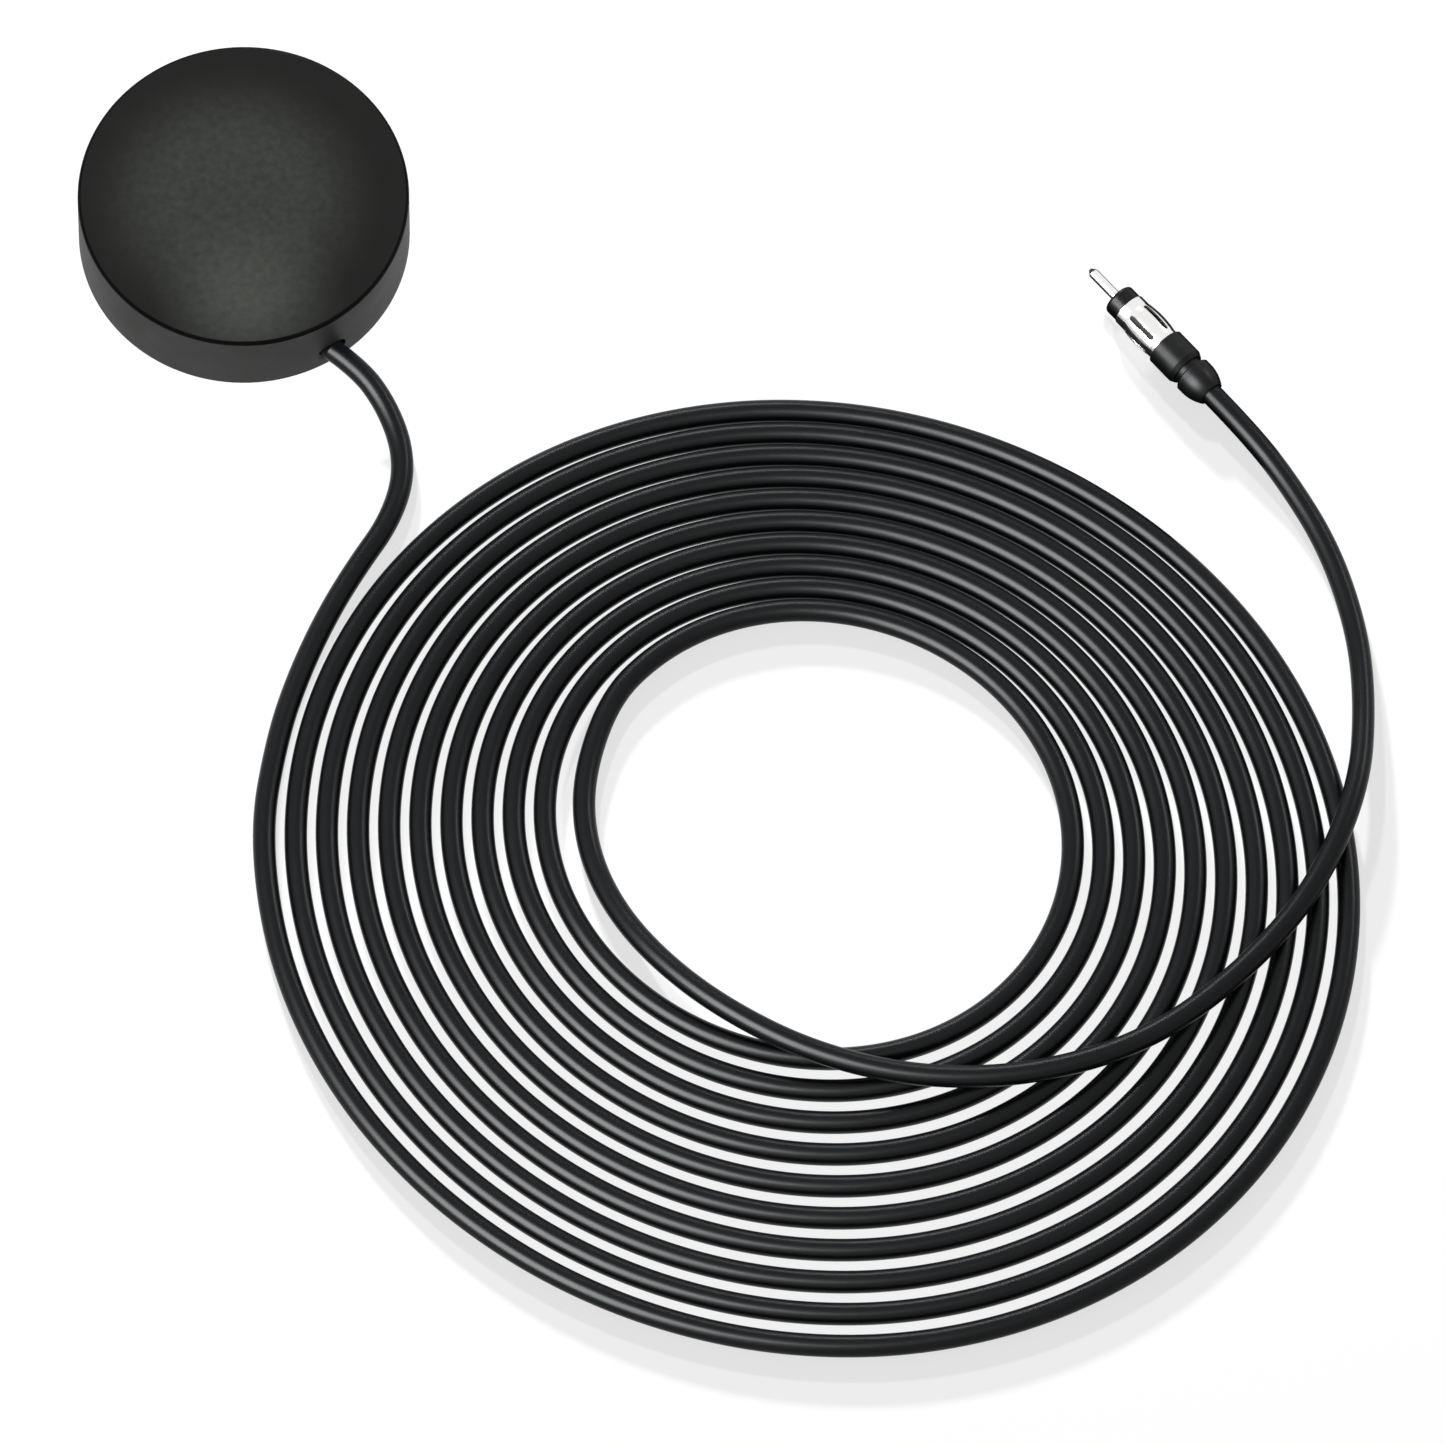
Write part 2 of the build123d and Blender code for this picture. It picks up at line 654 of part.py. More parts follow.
# Sprung sleeve: a thin bowed tube, slotted lengthwise into leaves that grip the socket
with BuildPart() as spring_sleeve:
    leaf_middle = leaf_slot_front - leaf_slot_length / 2
    bow_back = leaf_slot_front - leaf_slot_length - bow_overrun
    bow_front = leaf_slot_front + bow_overrun
    with BuildSketch(plug_section):
        with BuildLine():
            Line((sleeve_back, sleeve_radius), (bow_back, sleeve_radius))
            ThreePointArc((bow_back, sleeve_radius), (leaf_middle, sleeve_radius + sleeve_bulge),
                          (bow_front, sleeve_radius))
            Polyline((bow_front, sleeve_radius), (sleeve_front, sleeve_radius),
                     (sleeve_front, sleeve_radius - sleeve_wall),
                     (bow_front, sleeve_radius - sleeve_wall))
            ThreePointArc((bow_front, sleeve_radius - sleeve_wall),
                          (leaf_middle, sleeve_radius - sleeve_wall + sleeve_bulge),
                          (bow_back, sleeve_radius - sleeve_wall))
            Polyline((bow_back, sleeve_radius - sleeve_wall), (sleeve_back, sleeve_radius - sleeve_wall),
                     (sleeve_back, sleeve_radius))
        make_face()
    revolve(axis=plug_axis)
    for leaf in range(slot_count):
        outward = plug_section.y_dir.rotate(Axis((0, 0, 0), plug_way), 360 * (leaf + 0.5) / slot_count)
        with BuildSketch(Plane(plug_back + leaf_middle * plug_way, x_dir=plug_way, z_dir=outward)):
            SlotOverall(leaf_slot_length, leaf_slot_width)
        extrude(amount=sleeve_diameter, mode=Mode.SUBTRACT)
spring_sleeve.part.label = "spring_sleeve"
export_step(spring_sleeve.part, "parts/spring_sleeve.step")

# Barrel inside the sleeve, with a floor and a tail that the braid is crimped to
with BuildPart() as plug_barrel:
    tail_bore = barrel_tail_diameter / 2 - barrel_tail_wall
    revolve(ring_section(barrel_back, sleeve_front, barrel_radius - barrel_wall, barrel_radius),
            axis=plug_axis)
    revolve(ring_section(barrel_back, barrel_back + barrel_floor, tail_bore, barrel_radius),
            axis=plug_axis)
    revolve(ring_section(barrel_back - barrel_tail, barrel_back, tail_bore, barrel_tail_diameter / 2),
            axis=plug_axis)
plug_barrel.part.label = "plug_barrel"
export_step(plug_barrel.part, "parts/plug_barrel.step")

with BuildPart() as crimp_ferrule:
    revolve(ring_section(ferrule_back, ferrule_front, cord_radius + seat_gap, ferrule_radius),
            axis=plug_axis)
crimp_ferrule.part.label = "crimp_ferrule"
export_step(crimp_ferrule.part, "parts/crimp_ferrule.step")

# Front insulator: a rounded nose outside the barrel and a spigot inside it
with BuildPart() as tip_insulator:
    with BuildSketch(plug_section) as insulator_section:
        with BuildLine():
            Polyline((insulator_back, shank_radius + seat_gap),
                     (insulator_front, shank_radius + seat_gap),
                     (insulator_front, insulator_diameter / 2),
                     (sleeve_front + seat_gap, insulator_diameter / 2),
                     (sleeve_front + seat_gap, barrel_radius - barrel_wall - seat_gap),
                     (insulator_back, barrel_radius - barrel_wall - seat_gap), close=True)
        make_face()
        nose_corner = insulator_section.vertices().sort_by_distance(
            (insulator_front, insulator_diameter / 2))[0]
        fillet(nose_corner, insulator_round)
    revolve(axis=plug_axis)
tip_insulator.part.label = "tip_insulator"
export_step(tip_insulator.part, "parts/tip_insulator.step")

with BuildPart() as rear_insulator:
    revolve(ring_section(insulator_back - rear_insulator_length - seat_gap, insulator_back - seat_gap,
                         shank_radius + seat_gap, barrel_radius - barrel_wall - seat_gap),
            axis=plug_axis)
rear_insulator.part.label = "rear_insulator"
export_step(rear_insulator.part, "parts/rear_insulator.step")

# Centre pin: a pointed rod with a collar behind the insulators and a cup for the core
with BuildPart() as centre_pin:
    with BuildSketch(plug_section):
        with BuildLine():
            Polyline((pin_cup_back + pin_cup_depth, 0),
                     (pin_cup_back + pin_cup_depth, core_diameter / 2 + seat_gap),
                     (pin_cup_back, core_diameter / 2 + seat_gap), (pin_cup_back, pin_cup_diameter / 2),
                     (pin_cup_back + pin_cup_length, pin_cup_diameter / 2),
                     (pin_cup_back + pin_cup_length, pin_radius), (collar_back, pin_radius),
                     (collar_back, pin_collar_diameter / 2),
                     (collar_back + pin_collar_length, pin_collar_diameter / 2),
                     (collar_back + pin_collar_length, shank_radius), (insulator_front, shank_radius),
                     (insulator_front, pin_radius), (plug_length - pin_point, pin_radius),
                     (plug_length, pin_point_flat / 2), (plug_length, 0), close=True)
        make_face()
    revolve(axis=plug_axis)
centre_pin.part.label = "centre_pin"
export_step(centre_pin.part, "parts/centre_pin.step")

# End of the cord inside the plug
with BuildPart() as jacket_end:
    with BuildSketch(Plane(plug_back, z_dir=plug_way)):
        Circle(cord_radius)
    extrude(amount=jacket_front)
jacket_end.part.label = "jacket_end"
export_step(jacket_end.part, "parts/jacket_end.step")

dielectric_front = pin_cup_back - seat_gap
with BuildPart() as dielectric_end:
    with BuildSketch(Plane(plug_back + jacket_front * plug_way, z_dir=plug_way)):
        Circle(dielectric_diameter / 2)
    extrude(amount=dielectric_front - jacket_front)
dielectric_end.part.label = "dielectric_end"
export_step(dielectric_end.part, "parts/dielectric_end.step")

with BuildPart() as core_end:
    with BuildSketch(Plane(plug_back + dielectric_front * plug_way, z_dir=plug_way)):
        Circle(core_diameter / 2)
    extrude(amount=pin_cup_depth)
core_end.part.label = "core_end"
export_step(core_end.part, "parts/core_end.step")
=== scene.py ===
# %% [markdown]
# # A hidden car antenna
#
# The object is a round puck that sticks to a window, about five metres of thin black coaxial
# cord in a loose flat coil, and an aerial plug with a rubber boot. The rigid pieces come from a
# CAD model. This notebook gives them their finish, lays the cord, and sets the studio.
#
# Everything is in metres, in the same frame as the CAD: the origin is under the middle of the
# puck, on the surface that all of it lies on, and +Z is up.

from math import atan2, cos, hypot, pi, radians, sin

import bpy
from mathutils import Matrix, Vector


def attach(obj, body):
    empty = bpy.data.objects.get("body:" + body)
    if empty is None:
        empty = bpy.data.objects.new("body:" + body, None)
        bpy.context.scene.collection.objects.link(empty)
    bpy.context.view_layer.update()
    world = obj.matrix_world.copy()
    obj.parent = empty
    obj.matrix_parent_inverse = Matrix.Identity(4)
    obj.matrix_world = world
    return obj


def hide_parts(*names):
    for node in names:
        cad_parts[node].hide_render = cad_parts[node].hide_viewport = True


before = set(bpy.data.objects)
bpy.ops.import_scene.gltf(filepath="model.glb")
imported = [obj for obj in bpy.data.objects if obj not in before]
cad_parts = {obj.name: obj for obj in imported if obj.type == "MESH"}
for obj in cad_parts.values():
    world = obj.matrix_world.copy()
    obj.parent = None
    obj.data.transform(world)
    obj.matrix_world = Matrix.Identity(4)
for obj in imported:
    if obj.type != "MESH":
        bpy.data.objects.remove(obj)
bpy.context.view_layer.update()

# %% [markdown]
# ## Camera
#
# The photograph looks down at 65 degrees, and circles at its edges look the same as in its
# middle. A long lens far away does that. The picture is 1445 pixels wide and shows 5.03 pixels
# for each millimetre, so the distance follows from the lens.

# %% Camera
MM = 0.001
picture_width = 1445
pixels_per_mm = 5.03
camera_elevation = radians(65)
lens = 1000.0
sensor = 36.0
aim = Vector((95.6, -107.6, 0)) * MM

camera_data = bpy.data.cameras.new("camera")
camera_data.lens = lens
camera_data.sensor_width = sensor
distance = picture_width / pixels_per_mm * MM * lens / sensor
camera = bpy.data.objects.new("camera", camera_data)
camera.location = aim + distance * Vector((0, -cos(camera_elevation), sin(camera_elevation)))
camera.rotation_euler = (pi / 2 - camera_elevation, 0, 0)
bpy.context.scene.collection.objects.link(camera)
bpy.context.scene.camera = camera
print("camera distance", round(distance, 3))

# %% [markdown]
# ## Cord
#
# A cord is one long smooth curve with a round bevel. A NURBS curve of order 3 runs smoothly
# past its control points and cuts inside their corners, as a springy cord does. The stretch from
# the puck and the stretch to the plug are given as listed points. The ten turns between them come
# from a formula: a flat spiral that is a little oval and whose middle drifts as it closes. A
# control point of such a curve stands a little outside the line, so the formula moves it out by
# that share.
# The cord leaves its last turn early and cuts across the middle, then climbs over the others.
# These numbers are in millimetres, and MM scales them when the curve is made.

# %% Points of the cord
cord_diameter = 4.5
puck_radius = 33.1
exit_height = 5.1
exit_azimuth = radians(-57.5)
exit_heading = radians(-38.0)
first_run = 7.0
lead_bends = [(28.3, -39.0, 3.5), (31.6, -47.5, 2.4), (31.9, -56.0, 2.25), (28.8, -65.2, 2.25),
              (23.2, -73.8, 2.25), (17.2, -84.5, 2.25), (11.6, -97.5, 2.25), (7.2, -111.5, 2.25)]
inner_bends = [(68.0, -120.0, 2.25), (68.2, -134.0, 2.25), (72.8, -147.5, 3.2), (81.5, -160.5, 5.4)]
end_bends = [(95.0, -172.8, 6.85), (113.5, -183.0, 6.85), (135.0, -188.4, 6.85),
             (158.0, -187.6, 6.85), (180.5, -180.0, 6.85), (199.5, -164.5, 6.85),
             (213.5, -146.5, 6.85), (222.0, -125.0, 6.85), (223.3, -105.0, 3.9),
             (221.8, -88.0, 2.25), (216.3, -70.0, 2.25), (207.6, -54.8, 2.8)]
coil_turns = 10
coil_steps_left_out = 2
coil_radius = 106.8
coil_pitch = 6.0
coil_middle = (113.8, -141.3)
coil_drift = (0.05, 1.02)
coil_start = radians(176.0)
oval_across = 0.020
oval_slant = -0.035
points_per_turn = 24
plug_back = Vector((193.1, -37.2, 4.15))
plug_heading = radians(131.2)
last_run = 10.0


def coil_point(turns, outward=1.0):
    """Middle of the cord after so many turns of the coil, or a point further out."""
    angle = coil_start + 2 * pi * turns
    oval = 1 + oval_across * cos(2 * angle) + oval_slant * sin(2 * angle)
    radius = (coil_radius - coil_pitch * turns) * oval * outward
    return Vector((coil_middle[0] + coil_drift[0] * turns + radius * cos(angle),
                   coil_middle[1] + coil_drift[1] * turns + radius * sin(angle), cord_diameter / 2))


def level_way(angle):
    """Level direction at an angle from +X."""
    return Vector((cos(angle), sin(angle), 0))


exit_point = puck_radius * level_way(exit_azimuth) + Vector((0, 0, exit_height))
control_stand = 1 / cos(pi / points_per_turn)
route = [exit_point, exit_point + first_run * level_way(exit_heading)]
route += [Vector(bend) for bend in lead_bends]
route += [coil_point(step / points_per_turn, control_stand)
          for step in range(coil_turns * points_per_turn + 1 - coil_steps_left_out)]
route += [Vector(bend) for bend in inner_bends + end_bends]
route += [plug_back - last_run * level_way(plug_heading), plug_back]
print("cord points", len(route))

# %% Lay the cord
bevel_share = 1.01  # the flat sides of a bevel cut inside its circle
bevel_steps = 11
curve_steps = 12
cord_curve = bpy.data.curves.new("cord_jacket", "CURVE")
cord_curve.dimensions = "3D"
spline = cord_curve.splines.new("NURBS")
spline.points.add(len(route) - 1)
for point, place in zip(spline.points, route):
    point.co = (*(place * MM), 1)
    point.radius = cord_diameter / 2 * bevel_share * MM
spline.order_u = 3
spline.use_endpoint_u = True
spline.resolution_u = curve_steps
cord_curve.resolution_u = curve_steps
cord_curve.bevel_depth = 1.0
cord_curve.bevel_resolution = bevel_steps
cord_curve.use_fill_caps = True
cord = bpy.data.objects.new("cord_jacket", cord_curve)
bpy.context.scene.collection.objects.link(cord)
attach(cord, "root")
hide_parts("cord_lead", "cord_coil", "cord_end")
plug_nodes = ["plug_boot", "spring_sleeve", "plug_barrel", "crimp_ferrule", "tip_insulator",
              "rear_insulator", "centre_pin", "jacket_end", "dielectric_end", "core_end"]

# %% [markdown]
# ## Shared effects
#
# Several finishes share an effect, so each effect is a node group that is built once. The first
# is the fine grain of a moulded surface, which comes from the texture of the mould: tiny bumps
# and a slow drift in tone. The second is handling: faint smudges that change how glossy a
# surface is. The third is wire wound side by side, which shows as fine ridges.

# %% Node helpers
MIX_A, MIX_B, MIX_RESULT = 6, 7, 2  # colour sockets of a Mix node


def add_socket(tree, direction, name, default=None):
    """Add a number socket to a node group."""
    socket = tree.interface.new_socket(name=name, in_out=direction, socket_type="NodeSocketFloat")
    if default is not None:
        socket.default_value = default


def add_node(tree, kind, **settings):
    """Add a node and set its named properties and input values."""
    node = tree.nodes.new(kind)
    for name, value in settings.items():
        if name in node.inputs:
            node.inputs[name].default_value = value
        else:
            setattr(node, name, value)
    return node


def new_group(name, inputs, outputs):
    """A shader node group with number sockets, and its two end nodes."""
    tree = bpy.data.node_groups.new(name, "ShaderNodeTree")
    for label, default in inputs.items():
        add_socket(tree, "INPUT", label, default)
    for label in outputs:
        add_socket(tree, "OUTPUT", label)
    return tree, add_node(tree, "NodeGroupInput"), add_node(tree, "NodeGroupOutput")


# %% Effect: moulded grain
grain, grain_in, grain_out = new_group(
    "moulded_grain", {"Grains per metre": 2500.0, "Drift per metre": 60.0}, ["Height", "Tone"])
grain_place = add_node(grain, "ShaderNodeTexCoord")
grain_fine = add_node(grain, "ShaderNodeTexNoise", Detail=3.0, Roughness=0.6)
grain_slow = add_node(grain, "ShaderNodeTexNoise", Detail=2.0, Roughness=0.5)
grain.links.new(grain_place.outputs["Object"], grain_fine.inputs["Vector"])
grain.links.new(grain_place.outputs["Object"], grain_slow.inputs["Vector"])
grain.links.new(grain_in.outputs["Grains per metre"], grain_fine.inputs["Scale"])
grain.links.new(grain_in.outputs["Drift per metre"], grain_slow.inputs["Scale"])
grain.links.new(grain_fine.outputs["Fac"], grain_out.inputs["Height"])
grain.links.new(grain_slow.outputs["Fac"], grain_out.inputs["Tone"])

# %% Effect: handling
handling, handling_in, handling_out = new_group(
    "handling", {"Smudges per metre": 90.0, "Clean roughness": 0.3, "Smudged roughness": 0.45},
    ["Roughness"])
handling_place = add_node(handling, "ShaderNodeTexCoord")
smudge = add_node(handling, "ShaderNodeTexNoise", Detail=4.0, Roughness=0.65, Distortion=0.4)
smudge_range = add_node(handling, "ShaderNodeMapRange")
smudge_range.inputs["From Min"].default_value = 0.35
smudge_range.inputs["From Max"].default_value = 0.65
handling.links.new(handling_place.outputs["Object"], smudge.inputs["Vector"])
handling.links.new(handling_in.outputs["Smudges per metre"], smudge.inputs["Scale"])
handling.links.new(smudge.outputs["Fac"], smudge_range.inputs["Value"])
handling.links.new(handling_in.outputs["Clean roughness"], smudge_range.inputs["To Min"])
handling.links.new(handling_in.outputs["Smudged roughness"], smudge_range.inputs["To Max"])
handling.links.new(smudge_range.outputs["Result"], handling_out.inputs["Roughness"])

# %% Effect: wound wire
winding, winding_in, winding_out = new_group("wound_wire", {"Turns per metre": 2000.0}, ["Height"])
winding_place = add_node(winding, "ShaderNodeTexCoord")
winding_split = add_node(winding, "ShaderNodeSeparateXYZ")
winding_count = add_node(winding, "ShaderNodeMath", operation="MULTIPLY")
winding_ridge = add_node(winding, "ShaderNodeMath", operation="PINGPONG")
winding_ridge.inputs[1].default_value = 0.5  # half a turn up, half a turn down
winding_round = add_node(winding, "ShaderNodeMath", operation="POWER")
winding_round.inputs[1].default_value = 0.5  # the square root rounds each ridge
winding.links.new(winding_place.outputs["Object"], winding_split.inputs["Vector"])
winding.links.new(winding_split.outputs["Z"], winding_count.inputs[0])
winding.links.new(winding_in.outputs["Turns per metre"], winding_count.inputs[1])
winding.links.new(winding_count.outputs["Value"], winding_ridge.inputs[0])
winding.links.new(winding_ridge.outputs["Value"], winding_round.inputs[0])
winding.links.new(winding_round.outputs["Value"], winding_out.inputs["Height"])


# %% Material helpers
def place_group(tree, group, **values):
    """Place a shared effect in a material, with its own values."""
    node = add_node(tree, "ShaderNodeGroup")
    node.node_tree = group
    for name, value in values.items():
        node.inputs[name.replace("_", " ")].default_value = value
    return node


def blend(tree, mask, under, over):
    """Blend two colours by a mask. Each is three numbers or another node's output."""
    mix = add_node(tree, "ShaderNodeMix", data_type="RGBA")
    for socket, colour in ((MIX_A, under), (MIX_B, over)):
        if isinstance(colour, tuple):
            mix.inputs[socket].default_value = (*colour, 1)
        else:
            tree.links.new(colour, mix.inputs[socket])
    tree.links.new(mask, mix.inputs["Factor"])
    return mix.outputs[MIX_RESULT]


def raise_bump(tree, shader, height, distance):
    """Bump of a real depth, in metres."""
    bump = add_node(tree, "ShaderNodeBump", Distance=distance)
    tree.links.new(height, bump.inputs["Height"])
    tree.links.new(bump.outputs["Normal"], shader.inputs["Normal"])


def finish_of(name, dark, light, clean, smudged, grains, drift, depth, smudges=120.0,
              metallic=0.0, specular=0.5):
    """A material whose tone, roughness and surface vary as the shared effects say."""
    material = bpy.data.materials.new(name)
    material.use_nodes = True
    tree = material.node_tree
    shader = tree.nodes["Principled BSDF"]
    shader.inputs["Metallic"].default_value = metallic
    shader.inputs["Specular IOR Level"].default_value = specular
    grain_node = place_group(tree, grain, Grains_per_metre=grains, Drift_per_metre=drift)
    wear = place_group(tree, handling, Smudges_per_metre=smudges, Clean_roughness=clean,
                       Smudged_roughness=smudged)
    tone = blend(tree, grain_node.outputs["Tone"], dark, light)
    tree.links.new(tone, shader.inputs["Base Color"])
    tree.links.new(wear.outputs["Roughness"], shader.inputs["Roughness"])
    raise_bump(tree, shader, grain_node.outputs["Height"], depth)
    return material


def grey(level, warmth=0.0, greenness=0.0):
    """A nearly neutral tone: warmth gives it more red than blue, greenness more green."""
    return (level * (1 + warmth), level * (1 + greenness), level * (1 - warmth))


def dress(material, *nodes):
    """Give CAD nodes a material."""
    for name in nodes:
        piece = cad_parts[name]
        piece.data.materials.clear()
        piece.data.materials.append(material)


# %% [markdown]
# ## Housing and plate
#
# The puck is moulded in black plastic with a fine matt grain. It isn't quite black: wide soft
# light on the grain lifts it to a dark grey with a touch of green. The top is painted lightest in
# its middle and toward the front, as light falls there, and a little mottled there: two soft round
# patches of painted light lie over a painted shade that darkens it toward its rim. The rounded
# edge is painted as a thin black line, a painted dark reflection. A mask finds that band by its
# distance from the axis and its height, and makes it metallic with an almost black tone, which
# takes its sheen away.

# %% Bands and patches of the housing
edge_band_inside = 32.35 * MM
edge_band_outside = 32.6 * MM
edge_band_low = 17.5 * MM
edge_band_high = 17.75 * MM
top_low = 17.9 * MM
# Painted light: two soft round patches that lighten the top as light falls on it.
middle_painted_light_patch = {"middle": (-2, -1), "near": 12, "far": 31}
front_painted_light_patch = {"middle": (1, -23), "near": 0, "far": 21}
olive = (0.02, 0.08)
wall_tones = (grey(0.023, *olive), grey(0.028, *olive))
middle_painted_light_tones = (grey(0.015, *olive), grey(0.039, *olive))
front_painted_light_tones = (grey(0.030, *olive), grey(0.060, *olive))
# Painted shade on the top toward its rim, under the patches of painted light.
top_painted_shade_tone = grey(0.006, *olive)
# Painted dark reflection on the rounded edge: an almost black tone that is made metallic.
edge_painted_reflection_tone = grey(0.006)


def ramp(tree, value, low, high, low_result=0.0, high_result=1.0):
    """A smooth step from one result to another as a value goes from low to high."""
    step = add_node(tree, "ShaderNodeMapRange", interpolation_type="SMOOTHSTEP")
    step.inputs["From Min"].default_value = low
    step.inputs["From Max"].default_value = high
    step.inputs["To Min"].default_value = low_result
    step.inputs["To Max"].default_value = high_result
    tree.links.new(value, step.inputs["Value"])
    return step.outputs["Result"]


def both(tree, first, second):
    """Product of two masks or levels."""
    product = add_node(tree, "ShaderNodeMath", operation="MULTIPLY")
    tree.links.new(first, product.inputs[0])
    tree.links.new(second, product.inputs[1])
    return product.outputs["Value"]


def from_axis(tree):
    """Place seen from above, distance from the puck's axis, and height."""
    place = add_node(tree, "ShaderNodeTexCoord")
    split = add_node(tree, "ShaderNodeSeparateXYZ")
    flat = add_node(tree, "ShaderNodeCombineXYZ")
    length = add_node(tree, "ShaderNodeVectorMath", operation="LENGTH")
    tree.links.new(place.outputs["Object"], split.inputs["Vector"])
    tree.links.new(split.outputs["X"], flat.inputs["X"])
    tree.links.new(split.outputs["Y"], flat.inputs["Y"])
    tree.links.new(flat.outputs["Vector"], length.inputs[0])
    return flat.outputs["Vector"], length.outputs["Value"], split.outputs["Z"]


def patch(tree, place, middle, near, far):
    """A soft round patch, in mm: 1 up to the near distance from its middle, 0 from the far one."""
    away = add_node(tree, "ShaderNodeVectorMath", operation="DISTANCE")
    away.inputs[1].default_value = (middle[0] * MM, middle[1] * MM, 0)
    tree.links.new(place, away.inputs[0])
    return ramp(tree, away.outputs["Value"], near * MM, far * MM, 1.0, 0.0)


# %% Moulded black
housing_black = finish_of("housing_black", *wall_tones, clean=0.5, smudged=0.58, smudges=70.0,
                          grains=2600.0, drift=55.0, depth=0.00002, specular=0.15)
housing = housing_black.node_tree
housing_shader = housing.nodes["Principled BSDF"]
housing_place, housing_reach, housing_height = from_axis(housing)
# The edge band is a painted dark reflection. The patches on the top are painted light over painted
# shade.
on_painted_reflection_edge = both(housing, ramp(housing, housing_reach, edge_band_inside, edge_band_outside),
               ramp(housing, housing_height, edge_band_low, edge_band_high))
on_top = ramp(housing, housing_height, edge_band_high, top_low)
mottle = place_group(housing, grain, Grains_per_metre=1100.0, Drift_per_metre=680.0)
top_middle_painted_light = blend(housing, mottle.outputs["Tone"], *middle_painted_light_tones)
top_front_painted_light = blend(housing, mottle.outputs["Tone"], *front_painted_light_tones)
top_painted_light_and_shade = blend(housing, patch(housing, housing_place, **middle_painted_light_patch), top_painted_shade_tone, top_middle_painted_light)
top_painted_light_and_shade = blend(housing, patch(housing, housing_place, **front_painted_light_patch), top_painted_light_and_shade, top_front_painted_light)
wall_tone = housing_shader.inputs["Base Color"].links[0].from_socket
housing_tone = blend(housing, on_painted_reflection_edge, blend(housing, on_top, wall_tone, top_painted_light_and_shade), edge_painted_reflection_tone)
housing.links.new(housing_tone, housing_shader.inputs["Base Color"])
housing.links.new(on_painted_reflection_edge, housing_shader.inputs["Metallic"])
dress(housing_black, "cover_shell")

plate_black = finish_of("plate_black", grey(0.02), grey(0.026), clean=0.6, smudged=0.66,
                        grains=2200.0, drift=55.0, depth=0.00004)
dress(plate_black, "base_plate", "cord_clamp")

# %% [markdown]
# ## Cord jacket
#
# The jacket is extruded PVC: smooth, black all through, with a soft gloss. The die leaves it a
# little uneven along its length, which breaks up the long highlights. Its black leans to blue.

# %% Jacket black
blue_lean = -0.25
jacket_black = finish_of("jacket_black", grey(0.0016, blue_lean), grey(0.003, blue_lean),
                         clean=0.31, smudged=0.34, smudges=40.0, grains=120.0, drift=90.0,
                         depth=0.000004, specular=0.13)
cord_curve.materials.append(jacket_black)
dress(jacket_black, "cord_tail", "jacket_end")

# %% [markdown]
# ## Plug
#
# The sleeve and the pin are bright nickel plate, which is nearly a mirror, so what they show is
# the white room and the black card beneath. The barrel inside the sleeve is dull, and its dark
# tone is painted shade, so the slots show. The pin's point is painted dark as well, a painted dark
# reflection, and a mask finds it by its distance along the plug. The boot is moulded rubber,
# duller than the jacket, and the insulator is a shinier black nylon.

# %% Nickel
pin_tip_start = 35.3 * MM
pin_tip_end = 35.6 * MM
# Painted dark reflection on the pin's point.
pin_tip_painted_reflection = grey(0.06)
nickel_tones = (grey(0.8, 0.01), grey(0.88, 0.008))
nickel_plate = {"clean": 0.1, "smudged": 0.18, "smudges": 400.0, "grains": 6000.0, "drift": 300.0,
                "depth": 0.000002, "metallic": 1.0}
bright_nickel = finish_of("bright_nickel", *nickel_tones, **nickel_plate)
pin_nickel = finish_of("pin_nickel", *nickel_tones, **nickel_plate)
# The barrel's dark tone is painted shade in the sleeve's slots. Its roughness is its own.
dull_painted_shade_nickel = finish_of("dull_painted_shade_nickel", grey(0.08, 0.02), grey(0.14, 0.02), clean=0.4, smudged=0.55,
                        smudges=600.0, grains=6000.0, drift=500.0, depth=0.000004, metallic=1.0)
pin_tree = pin_nickel.node_tree
pin_shader = pin_tree.nodes["Principled BSDF"]
pin_place = add_node(pin_tree, "ShaderNodeTexCoord")
from_back = add_node(pin_tree, "ShaderNodeVectorMath", operation="SUBTRACT")
from_back.inputs[1].default_value = plug_back * MM
along_plug = add_node(pin_tree, "ShaderNodeVectorMath", operation="DOT_PRODUCT")
along_plug.inputs[1].default_value = level_way(plug_heading)
pin_tree.links.new(pin_place.outputs["Object"], from_back.inputs[0])
pin_tree.links.new(from_back.outputs["Vector"], along_plug.inputs[0])
on_tip = ramp(pin_tree, along_plug.outputs["Value"], pin_tip_start, pin_tip_end)
shank_tone = pin_shader.inputs["Base Color"].links[0].from_socket
pin_tone = blend(pin_tree, on_tip, shank_tone, pin_tip_painted_reflection)
pin_tree.links.new(pin_tone, pin_shader.inputs["Base Color"])
dress(bright_nickel, "spring_sleeve", "crimp_ferrule")
dress(dull_painted_shade_nickel, "plug_barrel")
dress(pin_nickel, "centre_pin")

# %% Rubber and black nylon
boot_rubber = finish_of("boot_rubber", grey(0.003), grey(0.006), clean=0.34, smudged=0.42,
                        smudges=260.0, grains=4200.0, drift=220.0, depth=0.000003, specular=0.13)
insulator_nylon = finish_of("insulator_nylon", grey(0.002), grey(0.004), clean=0.25, smudged=0.35,
                            smudges=300.0, grains=5000.0, drift=240.0, depth=0.000002,
                            specular=0.15)
dress(boot_rubber, "plug_boot")
dress(insulator_nylon, "tip_insulator", "rear_insulator")

# %% [markdown]
# ## Inside the puck
#
# Nothing of this shows from outside, but the model can be opened. The board is green laminate,
# the bobbin is natural nylon with enamelled copper wire on it, and the choke is a dark ferrite
# drum. The chip capacitors are brown ceramic. Screws are zinc plated, and posts and braid tinned.

